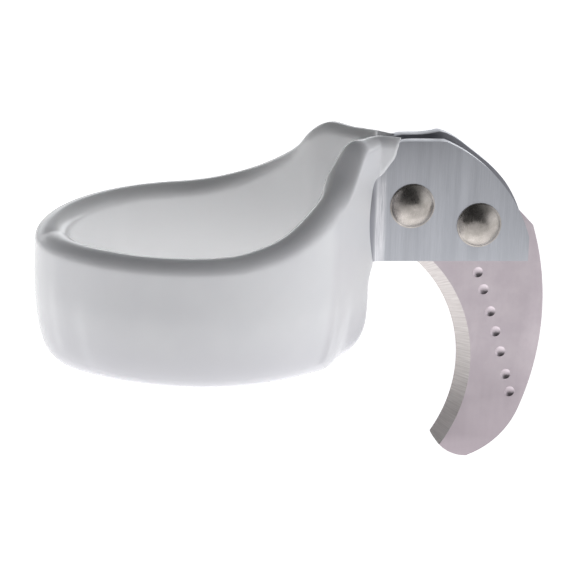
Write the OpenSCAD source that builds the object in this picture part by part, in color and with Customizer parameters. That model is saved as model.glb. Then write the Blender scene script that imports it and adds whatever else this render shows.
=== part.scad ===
// Finger-ring hook knife: a one-piece aluminium strap bent round the finger, a smooth sleeve
// over its loop, and a hook blade riveted between the strap's two flat ends.
// Z is the finger's axis, +X points from the finger to the blade, and Y = 0 is the blade's
// middle plane. The origin is half way up the ring's back. The shapes are drawn with the ring's
// underside at Z = 0, and each node is then lowered by half the height of the ring's back.

/* [Finger ring] */
// Diameter of the finger hole
ring_bore_d = 19; // [18.5:0.5:20]
// Thickness of the ring's wall, sleeve and strap together
wall_t = 2.4; // [2.2:0.1:2.8]
// Height of the ring at its back, opposite the blade
back_h = 9.5; // [8.5:0.5:10]
// Height of the ring at the side, where its upper edge starts to climb
side_h = 10; // [9:0.5:11]
// Height of the ring's upper edge at the neck
neck_h = 16.6; // [16.5:0.1:17]
// Depth of the rounding of the upper rim
rim_depth = 2; // [1.6:0.1:2.4]
// Depth of the long outer rounding under the ring
belly_depth = 6; // [4:0.5:6.5]

/* [Neck] */
// Where the ring's circle ends, measured from the blade's plane
neck_angle = 23; // [21:1:25]
// Slope of the neck's two walls to the blade's plane
neck_slope = 37; // [34:1:40]
// Bend radius where the ring turns into the neck
ring_bend_r = 1.6; // [1.5:0.1:2]
// Bend radius where the neck turns into the flat plates
tab_bend_r = 1.5; // [1.3:0.1:1.7]

/* [Strap] */
// Thickness of the strap
strap_t = 1; // [0.8:0.1:1.2]
// How far the sleeve stands past the strap's upper edge at the plates
edge_cover = 0.4; // [0.3:0.1:0.5]
// How far the strap's loop is set in from the sleeve's rims
loop_cover = 1.5; // [1.4:0.1:1.8]
// Height of the flat plates
tab_h = 9.5; // [9:0.1:10]
// Height of the plates' lower edge above the ring's underside
tab_low = 6.7; // [6.5:0.1:6.9]
// Distance from the finger's axis to the end of the plates
tab_end = 26.1; // [25.5:0.1:26.5]
// Angle at which the plates fall away from the ring's plane
tab_droop = 1.5; // [0:0.5:3]
// Radius of the rounded upper corner of the plates
tab_round_r = 12.5; // [12:0.1:13]

/* [Blade] */
// Thickness of the blade
blade_t = 1.2; // [1:0.1:1.4]
// Radius of the cutting edge inside the hook
hook_r = 10.75; // [10.5:0.05:11]
// Width of the ground bevel
bevel_w = 0.9; // [0.7:0.1:1.1]
// Thickness left at the cutting edge
edge_land = 0.1; // [0.05:0.05:0.2]
// Radius of the long outer edge
back_r = 21.8; // [21.5:0.1:22]
// Radius of the outer edge round the end of the hook
end_r = 6.5; // [6.3:0.1:6.7]
// Radius of the blunt tip
tip_r = 3.05; // [3:0.05:3.2]

/* [Rivets] */
// Diameter of a rivet's shank
rivet_d = 2; // [1.8:0.1:2.2]
// Diameter of a rivet's head
head_d = 3.5; // [3.2:0.1:3.6]
// Height of a rivet's domed head
head_h = 0.85; // [0.7:0.05:1]

/* [Hidden] */
$fn = 96;

rad = PI / 180;
bore_r = ring_bore_d / 2;
mid_r = bore_r + wall_t / 2;
plate_w = (blade_t + strap_t) / 2;
half_strap = strap_t / 2;

// The middle line of one wall, seen from above as [x, distance from the blade's plane]: the
// ring's circle, a bend, the sloping neck, a second bend and the flat plate. Length along it is
// s, which is 0 where the circle ends.
slope_dir = [cos(neck_slope), -sin(neck_slope)];
slope_out = [sin(neck_slope), cos(neck_slope)];
bend1_c = (mid_r + ring_bend_r) * [cos(neck_angle), sin(neck_angle)];
bend1_turn = 90 - neck_slope - neck_angle;
neck_p = bend1_c - ring_bend_r * slope_out;
neck_len = (neck_p.y - plate_w - tab_bend_r * (1 - slope_out.y)) / sin(neck_slope);
neck_q = neck_p + neck_len * slope_dir;
bend2_c = neck_q + tab_bend_r * slope_out;
s_neck = ring_bend_r * bend1_turn * rad;
s_bend2 = s_neck + neck_len;
s_plate = s_bend2 + tab_bend_r * neck_slope * rad;
s_back = -mid_r * (180 - neck_angle) * rad;

// Outward direction of the wall at s, as an angle from +X
function out_angle(s) =
    s < 0 ? neck_angle - s / (mid_r * rad) :
    s < s_neck ? neck_angle + s / (ring_bend_r * rad) :
    s < s_bend2 ? 90 - neck_slope :
    s < s_plate ? 90 - neck_slope + (s - s_bend2) / (tab_bend_r * rad) : 90;
function out_dir(s) = [cos(out_angle(s)), sin(out_angle(s))];
function mid_line(s) =
    s < 0 ? mid_r * out_dir(s) :
    s < s_neck ? bend1_c - ring_bend_r * out_dir(s) :
    s < s_bend2 ? neck_p + (s - s_neck) * slope_dir :
    s < s_plate ? bend2_c - tab_bend_r * out_dir(s) :
    [bend2_c.x + s - s_plate, plate_w];

// Upper edge of the ring against s: nearly level, then a hollow arc up and a round shoulder
climb_turn = 48;
climb_s = -12;
shoulder_r = 5.1;
climb_r = (neck_h - side_h) / (1 - cos(climb_turn)) - shoulder_r;
climb_end = climb_s + climb_r * sin(climb_turn);
shoulder_end = climb_end + shoulder_r * sin(climb_turn);
function top_turn(s) =
    s < climb_s ? 0 :
    s < climb_end ? asin((s - climb_s) / climb_r) :
    s < shoulder_end ? asin((shoulder_end - s) / shoulder_r) : 0;
function top_z(s) =
    s < climb_s ? side_h + (back_h - side_h) * (climb_s - s) / (climb_s - s_back) :
    s < climb_end ? side_h + climb_r * (1 - cos(top_turn(s))) :
    s < shoulder_end ? neck_h - shoulder_r * (1 - cos(top_turn(s))) : neck_h;

// Lower edge of the sleeve under the neck against its own length l, as [s, z, inward s,
// inward z]: a round corner, a short upright, a hollow corner and a level stretch
chin_s = 1;
chin_r = 3.15;
hollow_r = 1.65;
sleeve_low = tab_low - 0.1;
chin_l = chin_r * 90 * rad;
upright_l = chin_l + sleeve_low - hollow_r - chin_r;
hollow_l = upright_l + hollow_r * 90 * rad;
level_l = 1.4;
under_l = hollow_l + level_l;
function chin(a) = [chin_s + chin_r * sin(a), chin_r * (1 - cos(a)), -sin(a), cos(a)];
function hollow(a) = [chin_s + chin_r + hollow_r * (1 - cos(a)),
    sleeve_low - hollow_r * (1 - sin(a)), -cos(a), sin(a)];
function under(l) =
    l < chin_l ? chin(l / (chin_r * rad)) :
    l < upright_l ? [chin_s + chin_r, chin_r + l - chin_l, -1, 0] :
    l < hollow_l ? hollow((l - upright_l) / (hollow_r * rad)) :
    [chin_s + chin_r + hollow_r + l - hollow_l, sleeve_low, 0, 1];

// A share from 0 at the neck's start to 1 at the plates
function neck_share(s) = min(1, max(0, (s - s_neck) / (s_plate - s_neck)));
function mix(a, b, t) = a + (b - a) * t;

// The sleeve is swept from upright sections, one for each column [top s, lower s, lower z,
// inward s, inward z]
ring_columns = 24;
bend_columns = 3;
neck_columns = 18;
s_sleeve = chin_s + 6.1;
columns = concat(
    [for (i = [0:ring_columns - 1]) let (s = s_back * (1 - i / ring_columns)) [s, s, 0, 0, 1]],
    [for (i = [0:bend_columns - 1]) let (s = chin_s * i / bend_columns) [s, s, 0, 0, 1]],
    [for (i = [0:neck_columns]) let (t = i / neck_columns, u = under(under_l * t))
        [mix(chin_s, s_sleeve, t), u[0], u[1], u[2], u[3]]]);
coat_end = 0.3;
coat_sunk = 0.2;
inner_spare = 0.05;
cap_steps = 4;
function outer_half(s) = mix(wall_t / 2, half_strap + coat_end, neck_share(s));
function inner_half(s) = mix(wall_t / 2 + inner_spare, half_strap - coat_sunk, neck_share(s));
function belly(s) = mix(belly_depth, rim_depth, neck_share(s));

// One point of a section: n is the offset outward from the middle line
function wrapped(s, n, z) = let (p = mid_line(s) + n * out_dir(s)) [p.x, -p.y, z];
function low_point(c, half, depth, a) = let (d = depth * (1 + sin(a)))
    wrapped(c[1] + d * c[3], half * cos(a), c[2] + d * c[4]);
function top_point(c, half, a) = let (d = rim_depth * (1 - sin(a)), turn = top_turn(c[0]))
    wrapped(c[0] + d * sin(turn), half * cos(a), top_z(c[0]) - d * cos(turn));
function section(c) = concat(
    [for (i = [0:cap_steps]) low_point(c, outer_half(c[0]), belly(c[0]), -90 + 90 * i / cap_steps)],
    [for (i = [0:cap_steps]) top_point(c, outer_half(c[0]), 90 * i / cap_steps)],
    [for (i = [1:cap_steps]) top_point(c, inner_half(c[0]), 90 + 90 * i / cap_steps)],
    [for (i = [0:cap_steps - 1]) low_point(c, inner_half(c[0]), rim_depth, 180 + 90 * i / cap_steps)]);

// The sleeve's end on the plates, seen from the side: a slanted step above, and a hollow arc
// beside the bend
end_arc_c = [21.5, 10.6];
end_arc_r = 8.5;
end_step = [[13.6, 13.3], [14.65, 14.3], [15.3, 15.1], [15.6, 16.3], [15.9, 20]];

// Places of the rivets and the blade's arcs, seen from the side as [x, z]
rivet_inner_p = [16.6, 11.05];
rivet_outer_p = [21.95, 9.4];
hook_c = [10.4, -1.9];
back_c = [5.85, 2.2];
back_turn = -21.9;
end_c = back_c + (back_r - end_r) * [cos(back_turn), sin(back_turn)];
end_z = back_c.y + back_r * sin(back_turn);
tip_c = [22.1, -6.65];
heel = [26.65, 9.05];
tang_top = [[23.8, 11.9], [22.6, 12.5], [16.4, 14], [14.8, 13]];
tang_left = 14.6;
tab_round_c = [-0.4, -2.05];
tab_turn_x = 14.5;

// A length past the whole object
far = 40;

// Lowers a finished node to the origin
module in_place() {
    translate([0, 0, -back_h / 2]) children();
}

// Stands a side-view drawing up, from y0 to y1
module upright(y0, y1) {
    translate([0, y1, 0]) rotate([90, 0, 0]) linear_extrude(y1 - y0) children();
}

// The strap seen from above: one closed outline round both walls, from plate end to plate end
plan_s = concat(
    [for (i = [0:48]) s_back * (1 - i / 48)],
    [for (i = [1:6]) s_neck * i / 6],
    [for (i = [0:6]) mix(s_bend2, s_plate, i / 6)],
    [s_plate + tab_end]);
function plan_point(s, n, side) = let (p = mid_line(s) + n * out_dir(s)) [p.x, side * p.y];
plan_last = len(plan_s) - 1;
module strap_plan() {
    polygon(concat(
        [for (i = [plan_last:-1:0]) plan_point(plan_s[i], half_strap, -1)],
        [for (i = [1:plan_last]) plan_point(plan_s[i], half_strap, 1)],
        [for (i = [plan_last:-1:0]) plan_point(plan_s[i], -half_strap, 1)],
        [for (i = [1:plan_last]) plan_point(plan_s[i], -half_strap, -1)]));
}

// The plates' outline seen from the side
module tab_side() {
    translate([tab_turn_x, tab_low]) rotate(-tab_droop) intersection() {
        translate([-2, 0]) square([tab_end - tab_turn_x + 2, tab_h]);
        translate(tab_round_c) circle(tab_round_r);
    }
}

// The strap's outline seen from the side, inside the sleeve, up to the plates
strap_steps = 40;
under_cover = 1;
strap_chin_r = chin_r - under_cover;
strap_hollow_r = hollow_r + under_cover;
function strap_chin(a) = [mid_line(chin_s + strap_chin_r * sin(a)).x,
    under_cover + strap_chin_r * (1 - cos(a))];
function strap_hollow(a) = [mid_line(chin_s + strap_chin_r + strap_hollow_r * (1 - cos(a))).x,
    tab_low - strap_hollow_r * (1 - sin(a))];
function upper_cover(s) = mix(loop_cover, edge_cover, min(1, max(0, s / s_bend2)));
module loop_side() {
    back_x = -mid_r - 2;
    joint_x = tab_turn_x + 0.2;
    polygon(concat(
        [[back_x, under_cover]],
        [for (i = [0:6]) strap_chin(15 * i)],
        [for (i = [0:6]) strap_hollow(15 * i)],
        [[joint_x, tab_low], [joint_x, neck_h - edge_cover]],
        [for (i = [0:strap_steps]) let (s = mix(s_plate, s_back, i / strap_steps))
            [mid_line(s).x, top_z(s) - upper_cover(s)]],
        [[back_x, back_h - loop_cover]]));
}

module rivet_holes() {
    for (p = [rivet_inner_p, rivet_outer_p])
        translate([p.x, 0, p.y]) rotate([90, 0, 0]) cylinder(h = 10, d = rivet_d, center = true);
}

module strap_body() {
    intersection() {
        linear_extrude(far) strap_plan();
        upright(-far, far) {
            loop_side();
            tab_side();
        }
    }
}

module strap() {
    color("silver") in_place() difference() {
        strap_body();
        rivet_holes();
    }
}

module sleeve_half() {
    loops = [for (c = columns) section(c)];
    n = len(loops[0]);
    last = len(loops) - 1;
    polyhedron(
        points = [for (l = loops) each l],
        faces = concat(
            [[for (j = [0:n - 1]) j]],
            [for (i = [0:last - 1]) for (j = [0:n - 1])
                [i * n + j, (i + 1) * n + j, (i + 1) * n + (j + 1) % n]],
            [for (i = [0:last - 1]) for (j = [0:n - 1])
                [i * n + j, (i + 1) * n + (j + 1) % n, i * n + (j + 1) % n]],
            [[for (j = [0:n - 1]) last * n + n - 1 - j]]));
}

module sleeve_end() {
    upright(-far, far) {
        translate(end_arc_c) circle(end_arc_r);
        polygon(concat(end_step, [[far, 20], [far, 0], [14, 0]]));
    }
}

module ring_sleeve() {
    color("gainsboro") in_place() difference() {
        union() {
            sleeve_half();
            mirror([0, 1, 0]) sleeve_half();
        }
        cylinder(h = far, r = bore_r, center = true);
        sleeve_end();
        strap_body();
    }
}

module blade_side() {
    difference() {
        union() {
            intersection() {
                translate(back_c) circle(back_r);
                polygon(concat([[tang_left, end_z], [far, end_z], [far, heel.y - (far - heel.x)], heel],
                    tang_top, [[tang_left, 12.6]]));
            }
            intersection() {
                translate(end_c) circle(end_r);
                translate([tang_left, end_z - far]) square([far, far]);
            }
        }
        translate(hook_c) circle(hook_r);
        difference() {
            translate([tip_c.x - 5, tip_c.y - 5]) square(5);
            translate(tip_c) circle(tip_r);
        }
    }
}

module hook_blade() {
    color("rosybrown") in_place() difference() {
        upright(-blade_t / 2, blade_t / 2) blade_side();
        translate([hook_c.x, -blade_t / 2, hook_c.y]) rotate([-90, 0, 0])
            cylinder(h = blade_t - edge_land, r1 = hook_r + bevel_w, r2 = hook_r);
        rivet_holes();
    }
}

// A rivet along Y with the same domed head on both plates
module rivet(p) {
    dome_r = (pow(head_d / 2, 2) + head_h * head_h) / (2 * head_h);
    face = blade_t / 2 + strap_t;
    translate([p.x, 0, p.y]) rotate([90, 0, 0]) {
        cylinder(h = 2 * face, d = rivet_d, center = true);
        for (side = [0, 1]) mirror([0, 0, side]) intersection() {
            translate([0, 0, face + head_h - dome_r]) sphere(dome_r);
            translate([0, 0, face]) cylinder(h = head_h + 1, d = head_d + 1);
        }
    }
}

module rivet_inner() {
    color("tan") in_place() rivet(rivet_inner_p);
}

module rivet_outer() {
    color("tan") in_place() rivet(rivet_outer_p);
}

strap();
ring_sleeve();
hook_blade();
rivet_inner();
rivet_outer();
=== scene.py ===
import math

import bmesh
import bpy
import numpy as np
from mathutils import Matrix, Vector, noise


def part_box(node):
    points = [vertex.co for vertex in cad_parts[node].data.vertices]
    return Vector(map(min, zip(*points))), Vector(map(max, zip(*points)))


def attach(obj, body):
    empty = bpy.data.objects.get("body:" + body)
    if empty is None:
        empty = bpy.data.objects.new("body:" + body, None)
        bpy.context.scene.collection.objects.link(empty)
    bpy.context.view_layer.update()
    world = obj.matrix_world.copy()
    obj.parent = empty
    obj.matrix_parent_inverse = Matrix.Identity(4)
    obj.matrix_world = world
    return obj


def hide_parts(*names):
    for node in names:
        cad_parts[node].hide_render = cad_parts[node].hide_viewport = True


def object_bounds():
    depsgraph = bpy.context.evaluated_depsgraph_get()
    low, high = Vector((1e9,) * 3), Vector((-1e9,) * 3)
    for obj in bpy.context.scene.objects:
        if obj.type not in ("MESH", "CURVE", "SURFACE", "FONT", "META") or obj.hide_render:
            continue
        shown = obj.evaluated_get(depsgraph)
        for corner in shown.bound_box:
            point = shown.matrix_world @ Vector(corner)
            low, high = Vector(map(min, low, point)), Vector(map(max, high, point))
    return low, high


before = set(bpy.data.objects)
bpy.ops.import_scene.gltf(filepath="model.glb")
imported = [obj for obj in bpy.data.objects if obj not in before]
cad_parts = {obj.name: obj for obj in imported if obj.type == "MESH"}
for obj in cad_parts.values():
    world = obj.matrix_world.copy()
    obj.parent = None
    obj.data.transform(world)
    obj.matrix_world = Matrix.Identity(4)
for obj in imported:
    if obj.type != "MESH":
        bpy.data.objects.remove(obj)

cad_low, cad_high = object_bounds()
MM = 0.001
RAD = math.pi / 180

# The underside of the ring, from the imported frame. Sizes below are in millimetres, with heights
# measured from that underside, X towards the blade and Y = 0 on the blade's middle plane. In the
# outlines s is the length along the wall's middle line, 0 where the ring's circle ends.
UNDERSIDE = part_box("ring_sleeve")[0].z

# Ring and neck
BORE_R = 9.5
WALL = 2.4
MID_R = BORE_R + WALL / 2
BACK_H = 9.5
SIDE_H = 10.0
NECK_H = 16.6
BELLY = 6.0
NECK_BELLY = 3.8
NECK_ANGLE = 23 * RAD
NECK_SLOPE = 37 * RAD
RING_BEND_R = 1.6
TAB_BEND_R = 1.5

# Strap, blade and rivets
STRAP_T = 1.0
BLADE_T = 1.2
PLATE_W = (STRAP_T + BLADE_T) / 2
FACE_Y = BLADE_T / 2 + STRAP_T
TAB_LOW = 6.7
TAB_H = 9.5
TAB_END = 26.1
TAB_DROOP = 1.5 * RAD
TAB_TURN_X = 14.5
TAB_ROUND_R = 12.5
TAB_ROUND_C = (-0.4, -2.05)
EDGE_COVER = 0.4
HOOK_C = (10.4, -1.9)
HOOK_R = 10.75
BEVEL_W = 0.9
EDGE_LAND = 0.1
BACK_C = (5.85, 2.2)
BACK_R = 21.8
END_R = 6.5
BACK_TURN = -21.9 * RAD
TIP_C = (22.1, -6.65)
TIP_R = 3.05
HEEL = (26.65, 9.05)
TANG_LEFT = 14.6
TANG = [(23.8, 11.9), (22.6, 12.5), (16.4, 14.0), (14.8, 13.0), (TANG_LEFT, 12.6)]
RIVETS = {"rivet_inner": (16.6, 11.05), "rivet_outer": (21.95, 9.4)}
RIVET_R = 1.0
HEAD_R = 1.75
HEAD_H = 0.85


# ---------------------------------------------------------------- the wall's middle line

def turned(angle, length=1.0):
    return np.array([math.cos(angle), math.sin(angle)]) * length


SLOPE_DIR = turned(-NECK_SLOPE)
SLOPE_OUT = turned(math.pi / 2 - NECK_SLOPE)
BEND1_C = turned(NECK_ANGLE, MID_R + RING_BEND_R)
NECK_P = BEND1_C - RING_BEND_R * SLOPE_OUT
NECK_LEN = (NECK_P[1] - PLATE_W - TAB_BEND_R * (1 - SLOPE_OUT[1])) / math.sin(NECK_SLOPE)
NECK_Q = NECK_P + NECK_LEN * SLOPE_DIR
BEND2_C = NECK_Q + TAB_BEND_R * SLOPE_OUT
S_BACK = -MID_R * (math.pi - NECK_ANGLE)
S_NECK = RING_BEND_R * (math.pi / 2 - NECK_SLOPE - NECK_ANGLE)
S_BEND2 = S_NECK + NECK_LEN
S_PLATE = S_BEND2 + TAB_BEND_R * NECK_SLOPE


def out_angle(s):
    """Outward direction of the wall at length s."""
    if s < 0:
        return NECK_ANGLE - s / MID_R
    if s < S_NECK:
        return NECK_ANGLE + s / RING_BEND_R
    if s < S_BEND2:
        return math.pi / 2 - NECK_SLOPE
    return min(math.pi / 2, math.pi / 2 - NECK_SLOPE + (s - S_BEND2) / TAB_BEND_R)


def wrapped(s, n, z, side=-1):
    """A point at length s along the wall, n outward from its middle line, on the near side
    (side -1) or the far side (side 1), as a place in the frame in metres."""
    out = turned(out_angle(s))
    if s < 0:
        p = MID_R * out
    elif s < S_NECK:
        p = BEND1_C - RING_BEND_R * out
    elif s < S_BEND2:
        p = NECK_P + (s - S_NECK) * SLOPE_DIR
    elif s < S_PLATE:
        p = BEND2_C - TAB_BEND_R * out
    else:
        p = np.array([BEND2_C[0] + s - S_PLATE, PLATE_W])
    x, y = p + n * out
    return Vector((x * MM, side * y * MM, z * MM + UNDERSIDE))


HALVINGS = 50


def length_at(x, n):
    """The length s past the ring's circle at which the wall's surface, n outward, has that x."""
    low, high = 0.0, S_PLATE + TAB_END
    for _ in range(HALVINGS):
        middle = (low + high) / 2
        if wrapped(middle, n, 0).x < x * MM:
            low = middle
        else:
            high = middle
    return low


def mix(a, b, t):
    return a + (b - a) * t


def share(value, start, end):
    return min(1.0, max(0.0, (value - start) / (end - start)))


def smooth_share(value, start, end):
    t = share(value, start, end)
    return t * t * (3 - 2 * t)


# ---------------------------------------------------------------- outlines on the wall

CLIMB_TURN = 48 * RAD
CLIMB_S = -12.0
SHOULDER_R = 5.1
CLIMB_R = (NECK_H - SIDE_H) / (1 - math.cos(CLIMB_TURN)) - SHOULDER_R
CLIMB_END = CLIMB_S + CLIMB_R * math.sin(CLIMB_TURN)
SHOULDER_END = CLIMB_END + SHOULDER_R * math.sin(CLIMB_TURN)
CHIN_S = 1.3
CHIN_R = 2.85
HOLLOW_R = 1.65
SLEEVE_LOW = TAB_LOW - 0.1


def top_z(s):
    """Height of the ring's upper edge: nearly level, a hollow arc up and a round shoulder."""
    if s < CLIMB_S:
        return SIDE_H + (BACK_H - SIDE_H) * (CLIMB_S - s) / (CLIMB_S - S_BACK)
    if s < CLIMB_END:
        return SIDE_H + CLIMB_R * (1 - math.cos(math.asin((s - CLIMB_S) / CLIMB_R)))
    if s < SHOULDER_END:
        return NECK_H - SHOULDER_R * (1 - math.cos(math.asin((SHOULDER_END - s) / SHOULDER_R)))
    return NECK_H


# Lengths of the parts of the sleeve's lower edge under the neck: a round chin, an upright, and a
# hollow that stops short of a quarter turn
CHIN_L = CHIN_R * math.pi / 2
UPRIGHT_L = SLEEVE_LOW - HOLLOW_R - CHIN_R
HOLLOW_TURN = 0.92
UNDER_L = CHIN_L + UPRIGHT_L + HOLLOW_R * HOLLOW_TURN


def under_edge(l):
    """The sleeve's lower edge under the neck against its own length l, as (s, z)."""
    if l < CHIN_L:
        a = l / CHIN_R
        return np.array([CHIN_S + CHIN_R * math.sin(a), CHIN_R * (1 - math.cos(a))])
    l -= CHIN_L
    if l < UPRIGHT_L:
        return np.array([CHIN_S + CHIN_R, CHIN_R + l])
    a = min(math.pi / 2, (l - UPRIGHT_L) / HOLLOW_R)
    return np.array([CHIN_S + CHIN_R + HOLLOW_R * (1 - math.cos(a)),
                     SLEEVE_LOW - HOLLOW_R * (1 - math.sin(a))])


# The sleeve's end on the plate, seen from the side, from its lower edge up: a hollow arc beside
# the strap's bend, then a slanted step over the flat plate
SLEEVE_END = [(13.3, 8.5), (13.04, 10.2), (13.13, 11.8), (13.46, 13.05), (14.1, 13.55),
              (14.65, 14.27), (15.15, 15.0), (15.4, 15.9), (15.62, NECK_H)]


def spline(points, t):
    """A smooth curve through the points, for t from 0 to 1."""
    last = len(points) - 1
    i = min(last - 1, int(t * last))
    u = t * last - i
    p = [np.array(points[min(last, max(0, i + k))], float) for k in (-1, 0, 1, 2)]
    return 0.5 * (2 * p[1] + (p[2] - p[0]) * u + (2 * p[0] - 5 * p[1] + 4 * p[2] - p[3]) * u * u
                  + (3 * p[1] - p[0] - 3 * p[2] + p[3]) * u ** 3)


COAT = 0.3
end_points = [under_edge(UNDER_L)]
end_points += [np.array([length_at(x, STRAP_T / 2 + COAT), z]) for x, z in SLEEVE_END]


# The right-hand edge of the neck from the chin up, as (s, z): first the lower edge, then the end
EDGE_STEPS = 60
RIGHT_EDGE = np.array([under_edge(UNDER_L * k / EDGE_STEPS) for k in range(EDGE_STEPS + 1)]
                      + [spline(end_points, k / EDGE_STEPS) for k in range(1, EDGE_STEPS + 1)])


def neck_point(t, r):
    """A place (s, z) on the neck's wall: t runs level from above the chin to the right-hand
    edge, r from the ring's underside to the upper edge."""
    z = top_z(mix(CHIN_S, end_points[-1][0], t)) * r
    edge = np.interp(z, RIGHT_EDGE[:, 1], RIGHT_EDGE[:, 0])
    return np.array([mix(CHIN_S, edge, t), z])


# ---------------------------------------------------------------- meshes

def new_object(name, vertices, faces):
    mesh = bpy.data.meshes.new(name)
    mesh.from_pydata([tuple(v) for v in vertices], [], faces)
    mesh.validate()
    made = bpy.data.objects.new(name, mesh)
    bpy.context.scene.collection.objects.link(made)
    return made


def tidy_mesh(piece, sharp_angle=35):
    """Closes seams, points normals outward, and smooths all but the sharp edges."""
    bm = bmesh.new()
    bm.from_mesh(piece.data)
    bmesh.ops.remove_doubles(bm, verts=bm.verts, dist=1e-7)
    bmesh.ops.recalc_face_normals(bm, faces=bm.faces)
    if bm.calc_volume(signed=True) < 0:
        bmesh.ops.reverse_faces(bm, faces=bm.faces)
    bm.to_mesh(piece.data)
    bm.free()
    for polygon in piece.data.polygons:
        polygon.use_smooth = True
    piece.data.set_sharp_from_angle(angle=sharp_angle * RAD)
    return piece


def apply_modifiers(piece):
    graph = bpy.context.evaluated_depsgraph_get()
    mesh = bpy.data.meshes.new_from_object(piece.evaluated_get(graph))
    piece.modifiers.clear()
    old = piece.data
    piece.data = mesh
    bpy.data.meshes.remove(old)


def cut(piece, cutter):
    """Takes the cutter's shape out of the piece, and removes the cutter."""
    boolean = piece.modifiers.new("cut", "BOOLEAN")
    boolean.operation = "DIFFERENCE"
    boolean.solver = "EXACT"
    boolean.object = cutter
    bpy.context.view_layer.update()
    apply_modifiers(piece)
    bpy.data.objects.remove(cutter)


def lathe_faces(rings, around):
    """Faces between rings of vertices, closed round and between the first and last point."""
    return [(i * around + j, (i + 1) * around + j, (i + 1) * around + (j + 1) % around,
             i * around + (j + 1) % around)
            for i in range(rings - 1) for j in range(around)]


# ---------------------------------------------------------------- ring sleeve

RING_COLUMNS = 84
NECK_COLUMNS = 64
NECK_SPACING = 1.6
ROWS = 72
LIP = 0.4
LIFT_DEPTH = 5.5
SAG_HEIGHT = 4
NECK_BLEND = S_NECK - 0.6
INNER_END = S_PLATE + 0.15
FAR_AWAY = 99.0
INSIDE = "inside"

# Lines of (s, millimetres): how far the upper edge stands above top_z on the near and the far
# half, how far the lower edge sags, how far the outer face bulges, how deep the edges are
# rounded, and how thick the coat is inside the wall
NEAR_LIFT = [(-29.3, -0.25), (-26, -0.15), (-22, 0), (-13, 0), (-11, 0.1), (-10, 0.2), (-9, 0.24),
             (-6, 0.21), (-5, 0.16), (-4, 0), (-3, -0.3), (-2, -0.75), (-1, -1.37), (0, -1.65),
             (0.6, -1.3), (1, -0.75), (1.5, -0.2), (2, 0.08), (3, -0.05), (4, -0.14), (5, -0.09),
             (6, -0.04), (6.5, -0.15), (7, -0.35)]
FAR_LIFT = [(-29.3, -0.25), (-24, -0.25), (-17, -0.15), (-12, -0.06), (-9, 0.08), (-7, 0.22),
            (-4.5, 0.26), (-3, 0.12), (-1.8, -0.12), (-0.5, -0.45), (0.3, 0.0), (1.0, 0.32),
            (1.8, 0.12), (3, -0.17), (4.5, -0.1), (5.2, -0.1), (6, -0.3), (6.6, -0.6)]
LOW_SAG = [(-29.3, -0.35), (-26, -0.35), (-21.5, -0.08), (-18, 0.0), (-8, 0.0), (-4.5, -0.12),
           (-3, -0.35), (-1.3, -0.6), (0, -0.55), (1.3, -0.4), (6, -0.35)]
BULGE = [(-29.3, 0.27), (-26, 0.27), (-18, 0.13), (2, 0.13)]
RIM_DEPTH = [(-29.3, 1.05), (-3, 1.1), (0, 1.0), (3.5, 0.85), (9, 0.85)]
INNER_COAT = [(-3.0, 0.7), (0.0, 0.35), (3.0, 0.25), (4.2, 0.4), (5.0, 0.58), (9, 0.58)]

# Shifts in s over which such a line is averaged, so that its corners are worn off
WEAR = (-0.8, -0.4, 0.0, 0.4, 0.8)


def along(points, s):
    """The value at s of a line through the points, averaged over WEAR."""
    xs, ys = zip(*points)
    return sum(np.interp(s + shift, xs, ys) for shift in WEAR) / len(WEAR)


def round_off(distance, depth):
    """Share of the full thickness at a distance from an edge rounded to that depth."""
    u = min(1.0, max(0.0, distance / depth))
    return math.sqrt(max(0.0, 1 - (1 - u) ** 2))


def line_distance(point, line):
    """Distance of a point from a bent line, both in (s, z)."""
    starts = line[:-1]
    steps = line[1:] - starts
    t = np.clip(((point - starts) * steps).sum(1) / (steps * steps).sum(1), 0, 1)
    return float(np.sqrt((((starts + steps * t[:, None]) - point) ** 2).sum(1).min()))


# The neck's outer face runs straight, in plan, from FILL_START on the ring to FILL_END at the
# strap's bend, and so fills the hollow of the strap's own path
FILL_START = -2.05
FILL_END = 4.9


def outer_reach(s):
    """The sleeve's full thickness outward from the middle line at s."""
    t = smooth_share(s, NECK_BLEND, S_PLATE)
    return mix(WALL / 2 + along(BULGE, s), STRAP_T / 2 + COAT, t)


FILL_ENDS = [wrapped(s, outer_reach(s), 0, 1) for s in (FILL_START, FILL_END)]


def outer_place(s, part, z, side):
    """A place on the outer face: part is the share of the full thickness there."""
    place = wrapped(s, part * outer_reach(s), z, side)
    if FILL_START < s < FILL_END:
        full = mix(*FILL_ENDS, share(s, FILL_START, FILL_END))
        full = Vector((full.x, side * full.y, place.z))
        place = mix(wrapped(s, 0, z, side), full, part)
    return place


def sleeve_columns():
    """The wall as columns of (s, z), from the ring's back to the sleeve's end."""
    spacing = [(1 - math.cos(math.pi * k / ROWS)) / 2 for k in range(ROWS + 1)]
    columns = []
    for i in range(RING_COLUMNS):
        s = mix(S_BACK, CHIN_S, i / RING_COLUMNS)
        columns.append([np.array([s, top_z(s) * r]) for r in spacing])
    for i in range(NECK_COLUMNS + 1):
        t = 1 - (1 - i / NECK_COLUMNS) ** NECK_SPACING
        columns.append([neck_point(t, r) for r in spacing])
    return columns


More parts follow.
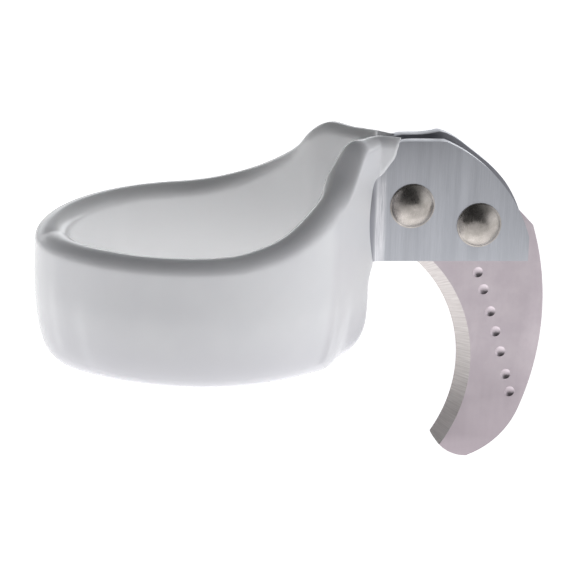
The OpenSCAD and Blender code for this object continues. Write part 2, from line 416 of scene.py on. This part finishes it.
def sleeve_surface():
    """The near half's two surfaces as (place in s and z, outer share, inner offset)."""
    columns = sleeve_columns()
    top_line = np.array([c[-1] for c in columns])
    under_line, end_line = RIGHT_EDGE[:EDGE_STEPS + 1], RIGHT_EDGE[EDGE_STEPS:]
    grid = []
    for column in columns:
        line = []
        for point in column:
            top = line_distance(point, top_line)
            under = line_distance(point, under_line) if point[0] > 0 else FAR_AWAY
            end = line_distance(point, end_line) if point[0] > 0 else FAR_AWAY
            depth = along(RIM_DEPTH, point[0])
            belly = mix(BELLY, NECK_BELLY, smooth_share(point[0], NECK_BLEND, S_PLATE))
            inner = STRAP_T / 2 + along(INNER_COAT, point[0])
            rim = round_off(top, depth) * round_off(end, LIP) * round_off(under, depth)
            part = rim * round_off(point[1], belly)
            n_in = inner * rim * round_off(point[1], depth) * round_off(INNER_END - point[0], LIP)
            line.append((point, part, n_in))
        grid.append(line)
    return grid


def make_sleeve():
    """One closed loop of points for each column, out over the outer face and back over the
    inner one, first along the far half and then along the near half."""
    grid = sleeve_surface()
    vertices, insides = [], []
    for side, lines in ((1, grid[::-1]), (-1, grid[1:])):
        for line in lines:
            s, top = line[-1][0]
            lift = along(FAR_LIFT if side > 0 else NEAR_LIFT, s)
            outer = [(p, part, None) for p, part, _ in line]
            inner = [(p, None, n) for p, _, n in line[-2:0:-1]]
            for p, part, n in outer + inner:
                sag = along(LOW_SAG, p[0]) * (1 - smooth_share(p[1], 0, SAG_HEIGHT))
                z = p[1] + sag + lift * smooth_share(p[1], top - LIFT_DEPTH, top)
                vertices.append(outer_place(p[0], part, z, side) if n is None
                                else wrapped(p[0], -n, z, side))
                insides.append(0.0 if n is None else 1.0)
    around = 2 * ROWS
    sleeve = new_object("sleeve", vertices, lathe_faces(len(vertices) // around, around))
    sleeve.data.attributes.new(INSIDE, "FLOAT", "POINT").data.foreach_set("value", insides)
    return tidy_mesh(sleeve, 60)


# ---------------------------------------------------------------- strap

STRAP_EDGE = 0.12
LOOP_LOW = 1.2
LOOP_TOP = 1.6
LOOP_RISE = 0.9
PLATE_JOIN = 0.4
DROOP_ROUNDS = 6
# How far each plate's upper edge stands above its plain outline, against s
NEAR_PLATE_PROUD = [(5.0, -0.3), (6.2, -0.3), (6.8, 0)]
FAR_PLATE_PROUD = [(5.0, -0.5), (6, -0.5), (6.6, -0.05), (9.5, 0), (10.5, 0.3), (11.2, 0.45),
                   (12, 0.28), (13.5, 0.2), (15, 0.5), (16.5, 0.75), (17.5, 0.6)]


def tab_top(u):
    """Height of the plate u past its turning point, in its own frame before it droops."""
    reach = TAB_ROUND_R ** 2 - (u - TAB_ROUND_C[0]) ** 2
    return min(TAB_H, TAB_ROUND_C[1] + math.sqrt(max(0.0, reach)))


def tab_edges(x):
    """Lower and upper edge of the drooping plate at x, measured from the ring's underside."""
    u = x - TAB_TURN_X
    low = -math.tan(TAB_DROOP) * u
    top = tab_top(u)
    for _ in range(DROOP_ROUNDS):
        top = tab_top(u * math.cos(TAB_DROOP) - (top + low) * math.sin(TAB_DROOP))
    return TAB_LOW + low, TAB_LOW + low + top


def strap_edges(s):
    """Lower and upper edge of the strap at length s: set in from the sleeve's rims on the loop,
    level with the sleeve's lower edge at the bend, and the plate's own edges beyond it."""
    x = wrapped(s, STRAP_T / 2, 0).x / MM
    plate_low, plate_top = tab_edges(x)
    loop_top = top_z(s) - mix(LOOP_TOP, EDGE_COVER, smooth_share(s, S_BEND2 - 0.5, S_PLATE))
    chin = max(0.0, min(s - CHIN_S, CHIN_R))
    loop_low = CHIN_R - math.sqrt(max(0.0, CHIN_R ** 2 - chin ** 2)) + LOOP_LOW
    chin_end = CHIN_S + CHIN_R
    low = mix(loop_low, TAB_LOW, smooth_share(s, chin_end - LOOP_RISE, chin_end))
    if s < S_PLATE:
        return low, loop_top
    join = share(s, S_PLATE, S_PLATE + PLATE_JOIN)
    return mix(low, plate_low, join), mix(loop_top, plate_top, join)


def strap_stations():
    """Lengths s at which the strap has a column, on the near side."""
    end = length_at(TAB_END - 0.1, STRAP_T / 2)
    stations = [S_BACK * (1 - i / 60) for i in range(60)]
    stations += [mix(0, S_NECK, i / 8) for i in range(8)]
    stations += [mix(S_NECK, S_BEND2, i / 24) for i in range(24)]
    stations += [mix(S_BEND2, S_PLATE, i / 12) for i in range(12)]
    stations += [mix(S_PLATE, S_PLATE + 6, i / 12) for i in range(12)]
    stations += [mix(S_PLATE + 6, end, math.sin(i / 40 * math.pi / 2)) for i in range(41)]
    return stations


def make_strap():
    """The strap laid out flat as (length, thickness, height), with its long edges softened,
    and then wrapped round the finger."""
    near = [(s, *strap_edges(s)) for s in strap_stations()]
    flat = [(-(s - S_BACK), low, top + along(FAR_PLATE_PROUD, s)) for s, low, top in near[::-1]]
    flat += [(s - S_BACK, low, top + along(NEAR_PLATE_PROUD, s)) for s, low, top in near[1:]]
    half = STRAP_T / 2
    vertices = []
    for u, low, top in flat:
        vertices += [(u, half, low), (u, half, top), (u, -half, top), (u, -half, low)]
    count = len(flat)
    faces = lathe_faces(count, 4)
    faces += [(3, 2, 1, 0), tuple(4 * (count - 1) + k for k in range(4))]
    strap = new_object("strap_plates", vertices, faces)
    bm = bmesh.new()
    bm.from_mesh(strap.data)
    bmesh.ops.recalc_face_normals(bm, faces=bm.faces)
    sharp = [e for e in bm.edges if len(e.link_faces) == 2 and e.calc_face_angle() > 50 * RAD]
    bmesh.ops.bevel(bm, geom=sharp, offset=STRAP_EDGE, segments=3, profile=0.5, affect="EDGES",
                    clamp_overlap=True)
    for v in bm.verts:
        u, n, z = v.co
        v.co = wrapped(S_BACK + abs(u), n, z, -1 if u >= 0 else 1)
    bm.to_mesh(strap.data)
    bm.free()
    cut(strap, rivet_drill())
    return tidy_mesh(strap, 30)


def rivet_drill():
    """Two rods that cut the rivet holes."""
    around = 48
    vertices, faces = [], []
    for x, z in RIVETS.values():
        start = len(vertices)
        for y in (-4, 4):
            for k in range(around):
                px, pz = np.array([x, z]) + turned(2 * math.pi * k / around, RIVET_R)
                vertices.append((px * MM, y * MM, pz * MM + UNDERSIDE))
        faces += [tuple(start + i for i in f) for f in lathe_faces(2, around)]
        faces += [tuple(start + k for k in range(around))[::-1],
                  tuple(start + around + k for k in range(around))]
    return tidy_mesh(new_object("drill", vertices, faces))


# ---------------------------------------------------------------- blade

# How far the long edges are taken off; how exactly a point has to lie on a circle or a face to
# count as on it; and how squarely the ground bevel's faces look at the front, as a cosine
BLADE_EDGE = 0.06
ON_CIRCLE = 0.01
OFF_FACE = 0.02
BEVEL_FACING = (0.2, 0.98)


def crossing(c1, r1, c2, r2, pick):
    """Where two circles cross, on the side that pick (1 or -1) names."""
    c1, c2 = np.array(c1, float), np.array(c2, float)
    d = np.linalg.norm(c2 - c1)
    a = (r1 * r1 - r2 * r2 + d * d) / (2 * d)
    h = math.sqrt(max(0.0, r1 * r1 - a * a))
    line = (c2 - c1) / d
    return c1 + a * line + pick * h * np.array([-line[1], line[0]])


def arc(centre, radius, start, end, steps):
    """Points on an arc from the direction of start to that of end, the short way round."""
    c = np.array(centre, float)
    a = math.atan2(start[1] - c[1], start[0] - c[0])
    b = math.atan2(end[1] - c[1], end[0] - c[0])
    turn = (b - a + math.pi) % (2 * math.pi) - math.pi
    return [c + turned(a + turn * k / steps, radius) for k in range(steps + 1)]


def blade_outline():
    """The blade from the side, from the top of the cutting edge round the tip to the tang."""
    end_c = np.array(BACK_C) + turned(BACK_TURN, BACK_R - END_R)
    top_in_z = HOOK_C[1] + math.sqrt(HOOK_R ** 2 - (TANG_LEFT - HOOK_C[0]) ** 2)
    top_in = np.array([TANG_LEFT, top_in_z])
    crossings = [crossing(HOOK_C, HOOK_R, TIP_C, TIP_R, pick) for pick in (1, -1)]
    tip_in = min(crossings, key=lambda point: point[1])
    tip_low = np.array([TIP_C[0], TIP_C[1] - TIP_R])
    back_low = np.array(BACK_C) + turned(BACK_TURN, BACK_R)
    points = arc(HOOK_C, HOOK_R, top_in, tip_in, 96)
    points += arc(TIP_C, TIP_R, tip_in, tip_low, 24)[1:]
    points += arc(end_c, END_R, tip_low, back_low, 32)[1:]
    points += arc(BACK_C, BACK_R, back_low, HEEL, 48)[1:]
    return points + [np.array(p) for p in TANG]


def make_blade():
    outline = blade_outline()
    count = len(outline)
    half = BLADE_T / 2
    vertices = [(x * MM, y * MM, z * MM + UNDERSIDE) for y in (-half, half) for x, z in outline]
    faces = [tuple(range(count))[::-1], tuple(range(count, 2 * count))]
    faces += [(k, (k + 1) % count, count + (k + 1) % count, count + k) for k in range(count)]
    blade = new_object("hook_blade_ground", vertices, faces)
    bm = bmesh.new()
    bm.from_mesh(blade.data)
    bmesh.ops.recalc_face_normals(bm, faces=bm.faces)
    centre = Vector((HOOK_C[0] * MM, 0, HOOK_C[1] * MM + UNDERSIDE))
    rims = []
    for e in bm.edges:
        a, b = (v.co - centre for v in e.verts)
        inner = all(math.hypot(p.x, p.z) < (HOOK_R + ON_CIRCLE) * MM for p in (a, b))
        if abs(a.y - b.y) < 1e-7 and not inner:
            rims.append(e)
    bmesh.ops.bevel(bm, geom=rims, offset=BLADE_EDGE * MM, segments=2, profile=0.5,
                    affect="EDGES", clamp_overlap=True)
    bm.to_mesh(blade.data)
    bm.free()
    cut(blade, bevel_cone())
    cut(blade, rivet_drill())
    cut(blade, mark_punch())
    tidy_mesh(blade, 25)
    for polygon in blade.data.polygons:
        middle = Vector(polygon.center) - centre
        r = math.hypot(middle.x, middle.z) / MM
        in_ring = HOOK_R - ON_CIRCLE < r < HOOK_R + BEVEL_W
        slants = BEVEL_FACING[0] < -polygon.normal.y < BEVEL_FACING[1]
        before_back = middle.y < (half - OFF_FACE) * MM
        polygon.material_index = 1 if in_ring and slants and before_back else 0
    return blade


CONE_MARGIN = 0.5


def bevel_cone():
    """The grinding wheel's shape: a cone that leaves a thin land at the cutting edge."""
    around = 256
    half = BLADE_T / 2
    slope = BEVEL_W / (BLADE_T - EDGE_LAND)
    profile = [(-half - CONE_MARGIN, HOOK_R + BEVEL_W + CONE_MARGIN * slope),
               (half - EDGE_LAND, HOOK_R)]
    vertices = []
    for y, r in profile:
        for k in range(around):
            x, z = np.array(HOOK_C) + turned(2 * math.pi * k / around, r)
            vertices.append((x * MM, y * MM, z * MM + UNDERSIDE))
    faces = lathe_faces(2, around)
    faces += [tuple(range(around))[::-1], tuple(range(around, 2 * around))]
    return tidy_mesh(new_object("cone", vertices, faces))


# A plain row of punched dots along the blade, from near the plates towards the tip
MARK_LINE = [(22.3, 5.3), (23.45, 2.1), (24.4, -1.2), (25.3, -4.5)]
MARKS = 7
MARK_R = 0.42
MARK_DEPTH = 0.13
PUNCH_REACH = 1.2


def mark_punch():
    """Round-nosed punches for the dots, as parts of spheres set over the blade's front face."""
    ball_r = (MARK_R ** 2 + MARK_DEPTH ** 2) / (2 * MARK_DEPTH)
    around, rings = 28, 8
    reach = math.asin(min(1.0, MARK_R * PUNCH_REACH / ball_r))
    vertices, faces = [], []
    for mark in range(MARKS):
        x, z = spline(MARK_LINE, mark / (MARKS - 1))
        y = -BLADE_T / 2 + MARK_DEPTH - ball_r
        start = len(vertices)
        for i in range(1, rings + 1):
            a = reach * i / rings
            for k in range(around):
                off = turned(2 * math.pi * k / around, ball_r * math.sin(a))
                vertices.append(((x + off[0]) * MM, (y + ball_r * math.cos(a)) * MM,
                                 (z + off[1]) * MM + UNDERSIDE))
        tip = len(vertices)
        vertices.append((x * MM, (y + ball_r) * MM, z * MM + UNDERSIDE))
        faces += [tuple(start + i for i in f) for f in lathe_faces(rings, around)]
        faces += [(tip, start + (k + 1) % around, start + k) for k in range(around)]
        faces.append(tuple(start + (rings - 1) * around + k for k in range(around)))
    return tidy_mesh(new_object("punch", vertices, faces))


# ---------------------------------------------------------------- rivets

SHANK_FIT = 0.98
HEAD_RIM = 0.06
HEAD_FOOT = 0.08
DOME_STEPS = 22
DOME_UNEVEN = 0.035


def make_rivet(name, seed):
    """A turned rivet: shank, and on each side a domed head with a small rounded rim, set by
    hand so that its dome isn't perfectly even."""
    x0, z0 = RIVETS[name]
    dome_r = (HEAD_R ** 2 + HEAD_H ** 2) / (2 * HEAD_H)
    half_angle = math.asin(HEAD_R / dome_r)
    profile = [(RIVET_R * SHANK_FIT, FACE_Y), (HEAD_R - HEAD_FOOT, FACE_Y),
               (HEAD_R, FACE_Y + HEAD_RIM)]
    for i in range(1, DOME_STEPS):
        a = half_angle * (1 - i / DOME_STEPS)
        profile.append((dome_r * math.sin(a), FACE_Y + HEAD_H - dome_r * (1 - math.cos(a))))
    around = 72
    vertices, faces = [], []
    for side in (-1, 1):
        start = len(vertices)
        for r, y in profile:
            for k in range(around):
                off = turned(2 * math.pi * k / around, r)
                place = Vector((off[0], side * 3.0 + seed, off[1]))
                rise = share(y, FACE_Y + 0.05, FACE_Y + 0.3)
                bump = DOME_UNEVEN * noise.noise(place * 1.1) * rise
                vertices.append(((x0 + off[0]) * MM, side * (y + bump) * MM,
                                 (z0 + off[1]) * MM + UNDERSIDE))
        top = len(vertices)
        vertices.append((x0 * MM, side * (FACE_Y + HEAD_H) * MM, z0 * MM + UNDERSIDE))
        faces += [tuple(start + i for i in f) for f in lathe_faces(len(profile), around)]
        rim = start + (len(profile) - 1) * around
        faces += [(top, rim + k, rim + (k + 1) % around) for k in range(around)]
    other = len(profile) * around + 1
    faces += [(k, (k + 1) % around, other + (k + 1) % around, other + k) for k in range(around)]
    return tidy_mesh(new_object(name + "_domed", vertices, faces), 50)


# ---------------------------------------------------------------- camera and light settings

CAMERA_AZ = -12.42 * RAD
CAMERA_EL = 16.82 * RAD
CAMERA_ROLL = 2.08 * RAD
CAMERA_DISTANCE = 350.0
CAMERA_TARGET = (7.44, 0.0, 4.256)
CAMERA_LENS = 284.3
FLOOR_DROP = 60.0


def facing(azimuth):
    """The level direction at that angle, where 0 is straight in front of the object."""
    return (math.sin(azimuth), -math.cos(azimuth), 0)


# The side where the table is dimmer far out, and the side where the tent stands open
TABLE_SIDE = facing(CAMERA_AZ)
OPEN_SIDE = facing(CAMERA_AZ - 18 * RAD)

# The tent's brightness low down, overhead, at its left and right ends and in its opening; the
# places in X between which left turns to right; the sines of the elevations between which its
# walls fade; the cosines of the angles from the opening's middle between which they begin; and a
# bright low band at its back, as the sines of its elevations, the cosines where it begins and its
# strength
TENT = 1.0
TENT_CEILING = 0.28
TENT_LEFT = 0.7
TENT_RIGHT = 1.3
TENT_OPENING = 0.05
TENT_TURN = (-0.2, 0.7)
TENT_FADE = (0.14, 0.66)
TENT_WALLS = (0.6, 0.0)
BAND_HEIGHTS = (0.03, 0.06, 0.24, 0.3)
BAND_SIDES = (-0.55, -0.75)
BAND = 1.0


# ---------------------------------------------------------------- materials

# The part of a noise's values that colours and roughnesses spread over
NOISE_TONE = (0.35, 0.65)
NOISE_ROUGH = (0.3, 0.7)


class Nodes:
    """Short names for building a tree of shader nodes."""

    def __init__(self, tree, place):
        self.tree = tree
        self.place = self.node("ShaderNodeTexCoord").outputs[place]

    def node(self, kind, inputs=None, **settings):
        made = self.tree.nodes.new(kind)
        for key, value in settings.items():
            setattr(made, key, value)
        for key, value in (inputs or {}).items():
            self.feed(made.inputs[key], value)
        return made

    def feed(self, socket, value):
        if isinstance(value, bpy.types.NodeSocket):
            self.tree.links.new(value, socket)
        else:
            socket.default_value = value

    def stretched(self, scale, rotation=(0, 0, 0), vector=None):
        return self.node("ShaderNodeMapping", {"Vector": vector or self.place, "Scale": scale,
                                               "Rotation": rotation}).outputs["Vector"]

    def noise(self, vector, scale, detail=2.0, roughness=0.5):
        return self.node("ShaderNodeTexNoise", {"Vector": vector, "Scale": scale, "Detail": detail,
                                                "Roughness": roughness}).outputs["Fac"]

    def range(self, value, low, high, to_low, to_high, kind="LINEAR"):
        return self.node("ShaderNodeMapRange", {"Value": value, "From Min": low, "From Max": high,
                                                "To Min": to_low, "To Max": to_high},
                         interpolation_type=kind).outputs["Result"]

    def axis(self, name, vector=None):
        return self.node("ShaderNodeSeparateXYZ", {"Vector": vector or self.place}).outputs[name]

    def height(self, from_z, to_z, to_low, to_high, kind="LINEAR"):
        """A ramp between two heights above the ring's underside, in millimetres."""
        return self.range(self.axis("Z"), UNDERSIDE + from_z * MM, UNDERSIDE + to_z * MM,
                          to_low, to_high, kind)

    def window(self, value, middle, width, soft):
        """1 within half a width of the middle, and 0 beyond the soft margin."""
        off = self.math("ABSOLUTE", self.math("SUBTRACT", value, middle))
        return self.range(off, width / 2 + soft, width / 2, 0, 1, "SMOOTHSTEP")

    def math(self, operation, a, b=0.0):
        return self.node("ShaderNodeMath", {0: a, 1: b}, operation=operation).outputs[0]

    def blend(self, factor, a, b):
        """Colour a where the factor is 0 and colour b where it is 1."""
        return self.node("ShaderNodeMix", {"Factor": factor, 6: a, 7: b},
                         data_type="RGBA").outputs[2]

    def mottled(self, noise, a, b):
        """Between colours a and b by a noise's usual range."""
        return self.blend(self.range(noise, *NOISE_TONE, 0, 1), (*a, 1), (*b, 1))

    def bump(self, height, distance, strength=1.0, normal=None):
        made = self.node("ShaderNodeBump", {"Height": height, "Distance": distance,
                                            "Strength": strength})
        if normal is not None:
            self.feed(made.inputs["Normal"], normal)
        return made.outputs["Normal"]


class Finish(Nodes):
    """A material built round one Principled shader."""

    def __init__(self, name):
        self.material = bpy.data.materials.new(name)
        self.material.use_nodes = True
        super().__init__(self.material.node_tree, "Object")
        self.shader = self.tree.nodes["Principled BSDF"]

    def set(self, name, value):
        self.feed(self.shader.inputs[name], value)

    def steel(self, colour, lines, roughness, height, depth, strength):
        """Bare metal whose roughness follows the lines and whose bumps follow the height."""
        self.set("Base Color", colour)
        self.set("Metallic", 1.0)
        self.set("Roughness", self.range(lines, *NOISE_ROUGH, *roughness))
        self.set("Normal", self.bump(height, depth, strength))
        return self.material


def sleeve_material():
    """Dip-coated vinyl: pale, cool and softly shining, with the slow waves of a dipped skin, a
    fine skin texture, scattered scuffs, a foot greyed as painted shade, and an inside paled
    as painted light."""
    m = Finish("dipped_vinyl")
    skin_tone = m.mottled(m.noise(m.place, 220, 2), (0.85, 0.85, 0.88), (0.885, 0.885, 0.91))
    # Painted shade: the coat is painted greyer over its lowest 5 mm.
    low = m.height(0, 5, 0.85, 0, "SMOOTHSTEP")
    outside = m.blend(low, skin_tone, (0.66, 0.655, 0.695, 1))
    # Painted light: the inside of the coat is painted paler than the outside.
    inside = m.node("ShaderNodeAttribute", attribute_name=INSIDE).outputs["Fac"]
    m.set("Base Color", m.blend(inside, outside, (0.91, 0.91, 0.92, 1)))
    scuff = m.noise(m.stretched((900, 900, 2600)), 1.0, 3, 0.6)
    m.set("Roughness", m.range(scuff, 0.35, 0.75, 0.15, 0.23))
    wave = m.bump(m.noise(m.place, 160, 1), 0.0002, 0.25)
    m.set("Normal", m.bump(m.noise(m.place, 2600, 2), 0.00001, 0.25, wave))
    m.set("IOR", 1.5)
    m.set("Subsurface Weight", 0.25)
    m.set("Subsurface Radius", (1.0, 0.95, 0.95))
    m.set("Subsurface Scale", 0.0008)
    return m.material


# Places on the strap: the painted highlight down its bend, as middle, width and soft
# margin in X; the painted shadow beside the sleeve's step, between two places in X; and the
# painted shade between the plates, between two distances from the middle plane
BEND_HIGHLIGHT_X = (14.05, 0.5, 0.4)
SLEEVE_SHADOW_X = (13.85, 13.65)
PLATE_GAP_SHADE_Y = (0.8, 0.62)


def strap_material():
    """Aluminium sheet brushed up and down, with fine uneven scratches, a little lighter at the
    top; painted highlight at the bend, painted shade by the sleeve and between the plates."""
    m = Finish("brushed_aluminium")
    lines = m.noise(m.stretched((15000, 15000, 420)), 1.0, 4, 0.7)
    bands = m.noise(m.stretched((1500, 1500, 40)), 1.0, 2, 0.5)
    tone = m.math("ADD", m.math("MULTIPLY", lines, 0.6), m.math("MULTIPLY", bands, 0.4))
    tone = m.math("ADD", tone, m.height(7, 15, -0.1, 0.12))
    sheet = m.mottled(tone, (0.41, 0.42, 0.455), (0.53, 0.54, 0.58))
    # Painted highlight: a lighter copy of the brushed sheet, laid down the strap's bend.
    bright = m.mottled(lines, (0.5, 0.5, 0.54), (0.85, 0.85, 0.88))
    along_x = m.axis("X")
    strip = m.window(along_x, *(x * MM for x in BEND_HIGHLIGHT_X))
    bend_highlight = m.blend(m.math("MULTIPLY", strip, m.height(14, 12.8, 0, 1)), sheet, bright)
    # Painted shade: the plates' inner faces and the strap beside the sleeve's step are painted
    # dark.
    between = m.range(m.math("ABSOLUTE", m.axis("Y")), *(y * MM for y in PLATE_GAP_SHADE_Y), 0, 0.75)
    beside = m.range(along_x, *(x * MM for x in SLEEVE_SHADOW_X), 0, 0.75)
    colour = m.blend(m.math("MAXIMUM", between, beside), bend_highlight, (0.25, 0.25, 0.28, 1))
    return m.steel(colour, lines, (0.3, 0.46), lines, 0.00002, 0.5)


def blade_material():
    """Flat of the blade: satin steel with a faint warm mottle and light rolling marks, darker
    towards the tip."""
    m = Finish("satin_steel")
    mottle = m.noise(m.place, 700, 3, 0.6)
    lines = m.noise(m.stretched((3000, 3000, 260), (0, 0.3, 0)), 1.0, 3, 0.6)
    flat = m.mottled(mottle, (0.56, 0.495, 0.535), (0.61, 0.545, 0.58))
    colour = m.blend(m.height(-0.5, -9, 0, 1), flat, (0.385, 0.335, 0.365, 1))
    return m.steel(colour, lines, (0.3, 0.42), m.math("ADD", lines, mottle), 0.00002, 0.4)


def bevel_material():
    """The ground bevel: lines left by the wheel, running across the cutting edge."""
    m = Finish("ground_bevel")
    centre = (-HOOK_C[0] * MM, 0, -(HOOK_C[1] * MM + UNDERSIDE))
    moved = m.node("ShaderNodeVectorMath", {0: m.place, 1: centre}, operation="ADD").outputs[0]
    angle = m.math("ARCTAN2", m.axis("Z", moved), m.axis("X", moved))
    across = m.math("MULTIPLY", m.axis("Y", moved), 3)
    place = m.node("ShaderNodeCombineXYZ", {"X": angle, "Y": across}).outputs[0]
    lines = m.noise(place, 95, 4, 0.7)
    colour = m.mottled(lines, (0.375, 0.345, 0.34), (0.55, 0.52, 0.51))
    return m.steel(colour, lines, (0.28, 0.42), lines, 0.00003, 0.6)


def rivet_material():
    """Hand-set steel domes: satin, slightly warm, with small dents and scratches."""
    m = Finish("rivet_steel")
    dents = m.noise(m.place, 1500, 2)
    scratches = m.noise(m.stretched((9000, 9000, 1400), (0, 0.7, 0)), 1.0, 3, 0.6)
    colour = m.mottled(dents, (0.36, 0.335, 0.31), (0.46, 0.425, 0.4))
    return m.steel(colour, scratches, (0.24, 0.36), dents, 0.00006, 0.3)


# The table's strength; how much more it has close to the ring and how much less far out on
# TABLE_SIDE, each with the distances in metres between which that changes; and bright tubes under
# it, out of the camera's sight: azimuth seen from the ring and width and soft margin in degrees,
# distance from and to in metres, extra strength
TABLE = 0.9
TABLE_NEAR = (0.03, 0.12, 0.6)
TABLE_FRONT = (0.13, 0.3, 0.35)
FRONT_EDGE = (0.2, 0.7)
TUBES = [(171, 6, 1.5, 0.07, 0.2, 1.0), (139, 4, 4, 0.14, 0.25, 0.8)]
TUBE_END = 0.03


def floor_material():
    """A pale light table: matt, and lit from within."""
    m = Finish("light_table")
    grain = m.noise(m.place, 30, 2)
    m.set("Base Color", m.blend(grain, (0.8, 0.8, 0.8, 1), (0.83, 0.83, 0.83, 1)))
    m.set("Roughness", 0.8)
    m.set("Emission Color", (1, 1, 1, 1))
    azimuth = m.math("ARCTAN2", m.axis("Y"), m.axis("X"))
    distance = m.node("ShaderNodeVectorMath", {0: m.place}, operation="LENGTH").outputs["Value"]
    start, end, extra = TABLE_NEAR
    near = m.range(distance, start, end, extra, 0, "SMOOTHSTEP")
    heading = m.node("ShaderNodeVectorMath", {0: m.place}, operation="NORMALIZE").outputs[0]
    front = m.node("ShaderNodeVectorMath", {0: heading, 1: TABLE_SIDE},
                   operation="DOT_PRODUCT").outputs["Value"]
    start, end, less = TABLE_FRONT
    fade = m.math("MULTIPLY", m.range(front, *FRONT_EDGE, 0, 1, "SMOOTHSTEP"),
                  m.range(distance, start, end, 0, less, "SMOOTHSTEP"))
    strength = m.math("ADD", m.math("SUBTRACT", near, fade), TABLE)
    for angle, width, soft, start, end, extra in TUBES:
        across = m.window(azimuth, angle * RAD, width * RAD, soft * RAD)
        lengthways = m.window(distance, (start + end) / 2, end - start, TUBE_END)
        tube = m.math("MULTIPLY", m.math("MULTIPLY", across, lengthways), extra)
        strength = m.math("ADD", tube, strength)
    m.set("Emission Strength", strength)
    return m.material


# ---------------------------------------------------------------- camera, light and floor

def make_camera():
    back = Vector((math.sin(CAMERA_AZ) * math.cos(CAMERA_EL),
                   -math.cos(CAMERA_AZ) * math.cos(CAMERA_EL), math.sin(CAMERA_EL)))
    right = Vector((math.cos(CAMERA_AZ), math.sin(CAMERA_AZ), 0))
    up = back.cross(right)
    right, up = (right * math.cos(CAMERA_ROLL) + up * math.sin(CAMERA_ROLL),
                 up * math.cos(CAMERA_ROLL) - right * math.sin(CAMERA_ROLL))
    target = Vector(CAMERA_TARGET) * MM + Vector((0, 0, UNDERSIDE))
    data = bpy.data.cameras.new("camera")
    data.lens = CAMERA_LENS
    data.sensor_width = 36
    data.clip_start = 0.01
    data.clip_end = 20
    camera = bpy.data.objects.new("camera", data)
    bpy.context.scene.collection.objects.link(camera)
    turn = Matrix((right, up, back)).transposed()
    camera.matrix_world = Matrix.Translation(target + back * CAMERA_DISTANCE * MM) @ turn.to_4x4()
    bpy.context.scene.camera = camera


def make_world():
    """A light tent, open and dark at the front and dim overhead, with one bright low band behind
    the object."""
    world = bpy.data.worlds.new("tent")
    bpy.context.scene.world = world
    world.use_nodes = True
    w = Nodes(world.node_tree, "Generated")
    up = w.axis("Z")
    flat = w.node("ShaderNodeVectorMath", {0: w.place, 1: (1, 1, 0)}, operation="MULTIPLY")
    heading = w.node("ShaderNodeVectorMath", {0: flat.outputs[0]}, operation="NORMALIZE")
    front = w.node("ShaderNodeVectorMath", {0: heading.outputs[0], 1: OPEN_SIDE},
                   operation="DOT_PRODUCT").outputs["Value"]
    level = w.range(up, *TENT_FADE, TENT, TENT_CEILING)
    walls = w.range(front, *TENT_WALLS, 0, 1, "SMOOTHSTEP")
    right = w.range(w.axis("X"), *TENT_TURN, TENT_LEFT, TENT_RIGHT, "SMOOTHSTEP")
    walls = w.math("MULTIPLY", walls, right)
    light = w.math("MULTIPLY", w.math("SUBTRACT", level, TENT_OPENING), walls)
    light = w.math("ADD", light, TENT_OPENING)
    start, full, fade, end = BAND_HEIGHTS
    band = w.range(up, start, full, 0, BAND, "SMOOTHSTEP")
    band = w.math("MULTIPLY", band, w.range(up, end, fade, 0, 1, "SMOOTHSTEP"))
    band = w.math("MULTIPLY", band, w.range(front, *BAND_SIDES, 0, 1, "SMOOTHSTEP"))
    light = w.math("ADD", light, band)
    sky = world.node_tree.nodes["Background"]
    sky.inputs["Color"].default_value = (0.97, 0.985, 1.0, 1)
    w.feed(sky.inputs["Strength"], light)


def make_floor():
    bm = bmesh.new()
    bmesh.ops.create_circle(bm, cap_ends=True, segments=128, radius=6.0)
    mesh = bpy.data.meshes.new("floor")
    bm.to_mesh(mesh)
    bm.free()
    floor = bpy.data.objects.new("floor", mesh)
    bpy.context.scene.collection.objects.link(floor)
    floor.location.z = cad_low.z - FLOOR_DROP * MM
    mesh.materials.append(floor_material())


# ---------------------------------------------------------------- the object

def place_piece(piece, node, slot, *materials):
    for material in materials:
        piece.data.materials.append(material)
    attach(piece, "root")
    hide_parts(node)


make_camera()
make_world()
make_floor()
place_piece(make_sleeve(), "ring_sleeve", "sleeve", sleeve_material())
place_piece(make_strap(), "strap", "strap", strap_material())
place_piece(make_blade(), "hook_blade", "blade", blade_material(), bevel_material())
shine = rivet_material()
for number, rivet_name in enumerate(RIVETS):
    place_piece(make_rivet(rivet_name, 7.3 * number), rivet_name, "rivets", shine)
bpy.context.scene.view_settings.view_transform = "Standard"
